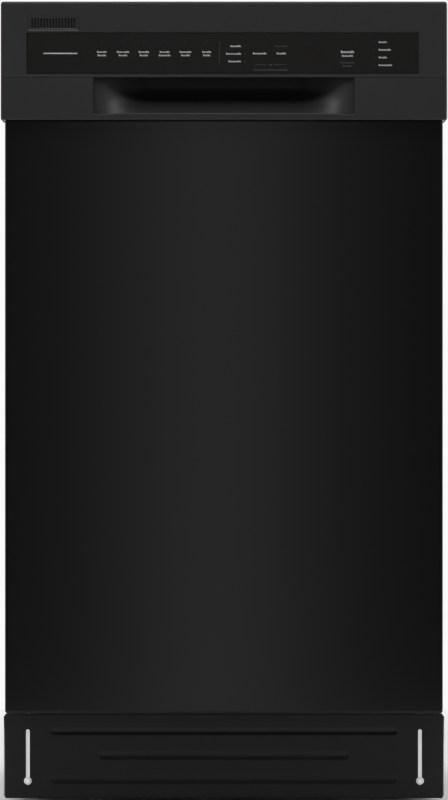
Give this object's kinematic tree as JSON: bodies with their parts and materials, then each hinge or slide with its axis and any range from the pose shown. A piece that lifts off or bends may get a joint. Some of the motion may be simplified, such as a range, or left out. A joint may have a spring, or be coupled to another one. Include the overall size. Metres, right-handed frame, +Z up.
{
  "type": "built-in dishwasher",
  "caption": "Narrow built-in dishwasher with a drop-down door, front touch controls, a handle pocket, pull-out racks, spray arms and a ventless toe panel.",
  "frame": {"origin": "centre of the bounding box's footprint, on the floor under the feet", "axes": "+Z up, +X to the right of someone facing the door, the door faces -Y"},
  "size_m": [0.4476, 0.57, 0.807],
  "materials": {
    "console_plastic": "fine satin texture",
    "gloss_overlay": "polished, with pale printed symbols",
    "black_plastic": "moulded",
    "black_enamel": "satin enamel",
    "stainless": "brushed",
    "galvanised": "zinc plated",
    "grey_plastic": "moulded",
    "light_plastic": "moulded",
    "rubber": "matt",
    "coated_wire": "nylon coating over wire",
    "circuit_board": "laminate"
  },
  "bodies": {
    "cabinet": {"tub_shell": "stainless", "tub_gasket": "rubber", "side_panel_left": "galvanised", "side_panel_right": "galvanised", "rear_panel": "galvanised", "top_mounting_strip": "galvanised", "striker": "galvanised", "base_tray": "grey_plastic", "base_front_frame": "galvanised", "door_spring_left": "galvanised", "door_spring_right": "galvanised", "kick_screw_left": "galvanised", "kick_screw_right": "galvanised", "sump": "grey_plastic", "filter_plate": "stainless", "circulation_pump": "grey_plastic", "drain_pump": "grey_plastic", "inlet_valve": "light_plastic", "junction_box": "galvanised", "spray_feed_pipe": "grey_plastic"},
    "door": {"console_shell": "console_plastic", "control_overlay": "gloss_overlay", "handle_scoop": "console_plastic", "door_outer_panel": "black_enamel", "door_inner_liner": "stainless", "door_bottom_seal": "rubber", "control_board": "circuit_board", "dispenser_body": "grey_plastic", "latch_housing": "grey_plastic", "hinge_arm_left": "galvanised", "hinge_arm_right": "galvanised"},
    "key_heavy": {"key_heavy": "grey_plastic"},
    "key_normal": {"key_normal": "grey_plastic"},
    "key_quick": {"key_quick": "grey_plastic"},
    "key_glass": {"key_glass": "grey_plastic"},
    "key_eco": {"key_eco": "grey_plastic"},
    "key_rinse": {"key_rinse": "grey_plastic"},
    "key_options": {"key_options": "grey_plastic"},
    "key_delay": {"key_delay": "grey_plastic"},
    "key_start": {"key_start": "grey_plastic"},
    "detergent_lid": {"detergent_lid": "light_plastic"},
    "rinse_aid_cap": {"rinse_aid_cap": "light_plastic"},
    "latch_hook": {"latch_hook": "light_plastic"},
    "toe_kick_panel": {"toe_kick_panel": "black_enamel"},
    "foot_front_left": {"foot_front_left": "black_plastic"},
    "foot_front_right": {"foot_front_right": "black_plastic"},
    "foot_rear_left": {"foot_rear_left": "black_plastic"},
    "foot_rear_right": {"foot_rear_right": "black_plastic"},
    "filter_cylinder": {"filter_cylinder": "grey_plastic"},
    "lower_spray_arm": {"lower_spray_arm": "grey_plastic"},
    "upper_rail_left": {"upper_rail_left": "stainless"},
    "upper_rail_right": {"upper_rail_right": "stainless"},
    "upper_rack": {"upper_rack": "coated_wire"},
    "upper_spray_arm": {"upper_spray_arm": "grey_plastic"},
    "lower_rack": {"lower_rack": "coated_wire"},
    "silverware_basket": {"silverware_basket": "grey_plastic"},
    "wheel_front_left": {"wheel_front_left": "light_plastic"},
    "wheel_front_right": {"wheel_front_right": "light_plastic"},
    "wheel_rear_left": {"wheel_rear_left": "light_plastic"},
    "wheel_rear_right": {"wheel_rear_right": "light_plastic"}
  },
  "joints": [
    {"name": "door_hinge", "type": "hinge", "parent": "cabinet", "child": "door", "pos_m": [0, -0.227, 0.1038], "axis": [1, 0, 0], "range_deg": [0, 90], "stiffness_Nm_per_rad": 9, "springref_deg": -14.32, "deforming": ["door_spring_left", "door_spring_right"]},
    {"name": "key_heavy_press", "type": "slide", "parent": "door", "child": "key_heavy", "axis": [0, 1, 0], "range_m": [0, 0.0004], "stiffness_N_per_m": 300, "springref_m": -0.001},
    {"name": "key_normal_press", "type": "slide", "parent": "door", "child": "key_normal", "axis": [0, 1, 0], "range_m": [0, 0.0004], "stiffness_N_per_m": 300, "springref_m": -0.001},
    {"name": "key_quick_press", "type": "slide", "parent": "door", "child": "key_quick", "axis": [0, 1, 0], "range_m": [0, 0.0004], "stiffness_N_per_m": 300, "springref_m": -0.001},
    {"name": "key_glass_press", "type": "slide", "parent": "door", "child": "key_glass", "axis": [0, 1, 0], "range_m": [0, 0.0004], "stiffness_N_per_m": 300, "springref_m": -0.001},
    {"name": "key_eco_press", "type": "slide", "parent": "door", "child": "key_eco", "axis": [0, 1, 0], "range_m": [0, 0.0004], "stiffness_N_per_m": 300, "springref_m": -0.001},
    {"name": "key_rinse_press", "type": "slide", "parent": "door", "child": "key_rinse", "axis": [0, 1, 0], "range_m": [0, 0.0004], "stiffness_N_per_m": 300, "springref_m": -0.001},
    {"name": "key_options_press", "type": "slide", "parent": "door", "child": "key_options", "axis": [0, 1, 0], "range_m": [0, 0.0004], "stiffness_N_per_m": 300, "springref_m": -0.001},
    {"name": "key_delay_press", "type": "slide", "parent": "door", "child": "key_delay", "axis": [0, 1, 0], "range_m": [0, 0.0004], "stiffness_N_per_m": 300, "springref_m": -0.001},
    {"name": "key_start_press", "type": "slide", "parent": "door", "child": "key_start", "axis": [0, 1, 0], "range_m": [0, 0.0004], "stiffness_N_per_m": 300, "springref_m": -0.001},
    {"name": "detergent_lid_slide", "type": "slide", "parent": "door", "child": "detergent_lid", "axis": [1, 0, 0], "range_m": [0, 0.05]},
    {"name": "rinse_cap_twist", "type": "hinge", "parent": "door", "child": "rinse_aid_cap", "pos_m": [0.065, -0.215, 0.415], "axis": [0, 1, 0], "range_deg": [0, 90]},
    {"name": "latch_hook_pivot", "type": "hinge", "parent": "door", "child": "latch_hook", "pos_m": [0, -0.254, 0.782], "axis": [1, 0, 0], "range_deg": [0, 12]},
    {"name": "toe_kick_slide", "type": "slide", "parent": "cabinet", "child": "toe_kick_panel", "axis": [0, 0, -1], "range_m": [0, 0.042]},
    {"name": "foot_front_left_adjust", "type": "slide", "parent": "cabinet", "child": "foot_front_left", "axis": [0, 0, -1], "range_m": [0, 0.045]},
    {"name": "foot_front_right_adjust", "type": "slide", "parent": "cabinet", "child": "foot_front_right", "axis": [0, 0, -1], "range_m": [0, 0.045]},
    {"name": "foot_rear_left_adjust", "type": "slide", "parent": "cabinet", "child": "foot_rear_left", "axis": [0, 0, -1], "range_m": [0, 0.045]},
    {"name": "foot_rear_right_adjust", "type": "slide", "parent": "cabinet", "child": "foot_rear_right", "axis": [0, 0, -1], "range_m": [0, 0.045]},
    {"name": "filter_twist", "type": "hinge", "parent": "cabinet", "child": "filter_cylinder", "pos_m": [0, -0.07, 0.1], "axis": [0, 0, 1], "range_deg": [0, 60]},
    {"name": "lower_arm_spin", "type": "hinge", "parent": "cabinet", "child": "lower_spray_arm", "pos_m": [0, 0.005, 0.136], "axis": [0, 0, 1], "continuous": true},
    {"name": "upper_rail_left_slide", "type": "slide", "parent": "cabinet", "child": "upper_rail_left", "axis": [0, -1, 0], "range_m": [0, 0.19]},
    {"name": "upper_rail_right_slide", "type": "slide", "parent": "cabinet", "child": "upper_rail_right", "axis": [0, -1, 0], "range_m": [0, 0.19]},
    {"name": "upper_rack_slide", "type": "slide", "parent": "cabinet", "child": "upper_rack", "axis": [0, -1, 0], "range_m": [0, 0.38]},
    {"name": "upper_arm_spin", "type": "hinge", "parent": "upper_rack", "child": "upper_spray_arm", "pos_m": [0, 0.01, 0.452], "axis": [0, 0, 1], "continuous": true},
    {"name": "lower_rack_slide", "type": "slide", "parent": "cabinet", "child": "lower_rack", "axis": [0, -1, 0], "range_m": [0, 0.4]},
    {"name": "silverware_basket_lift", "type": "slide", "parent": "lower_rack", "child": "silverware_basket", "axis": [0, 0, 1], "range_m": [0, 0.1]},
    {"name": "wheel_front_left_roll", "type": "hinge", "parent": "lower_rack", "child": "wheel_front_left", "pos_m": [-0.192, -0.1, 0.1318], "axis": [1, 0, 0], "range_deg": [-30, 1300]},
    {"name": "wheel_front_right_roll", "type": "hinge", "parent": "lower_rack", "child": "wheel_front_right", "pos_m": [0.192, -0.1, 0.1318], "axis": [1, 0, 0], "range_deg": [-30, 1300]},
    {"name": "wheel_rear_left_roll", "type": "hinge", "parent": "lower_rack", "child": "wheel_rear_left", "pos_m": [-0.192, 0.15, 0.1318], "axis": [1, 0, 0], "range_deg": [-30, 1300]},
    {"name": "wheel_rear_right_roll", "type": "hinge", "parent": "lower_rack", "child": "wheel_rear_right", "pos_m": [0.192, 0.15, 0.1318], "axis": [1, 0, 0], "range_deg": [-30, 1300]}
  ],
  "couplings": [
    {"joint": "upper_rack_slide", "follows": "door_hinge", "m_per_rad": 0.24},
    {"joint": "upper_rail_left_slide", "follows": "door_hinge", "m_per_rad": 0.12},
    {"joint": "upper_rail_right_slide", "follows": "door_hinge", "m_per_rad": 0.12},
    {"joint": "lower_rack_slide", "follows": "door_hinge", "m_per_rad": 0.09},
    {"joint": "wheel_front_left_roll", "follows": "door_hinge", "ratio": 5},
    {"joint": "wheel_front_right_roll", "follows": "door_hinge", "ratio": 5},
    {"joint": "wheel_rear_left_roll", "follows": "door_hinge", "ratio": 5},
    {"joint": "wheel_rear_right_roll", "follows": "door_hinge", "ratio": 5}
  ]
}
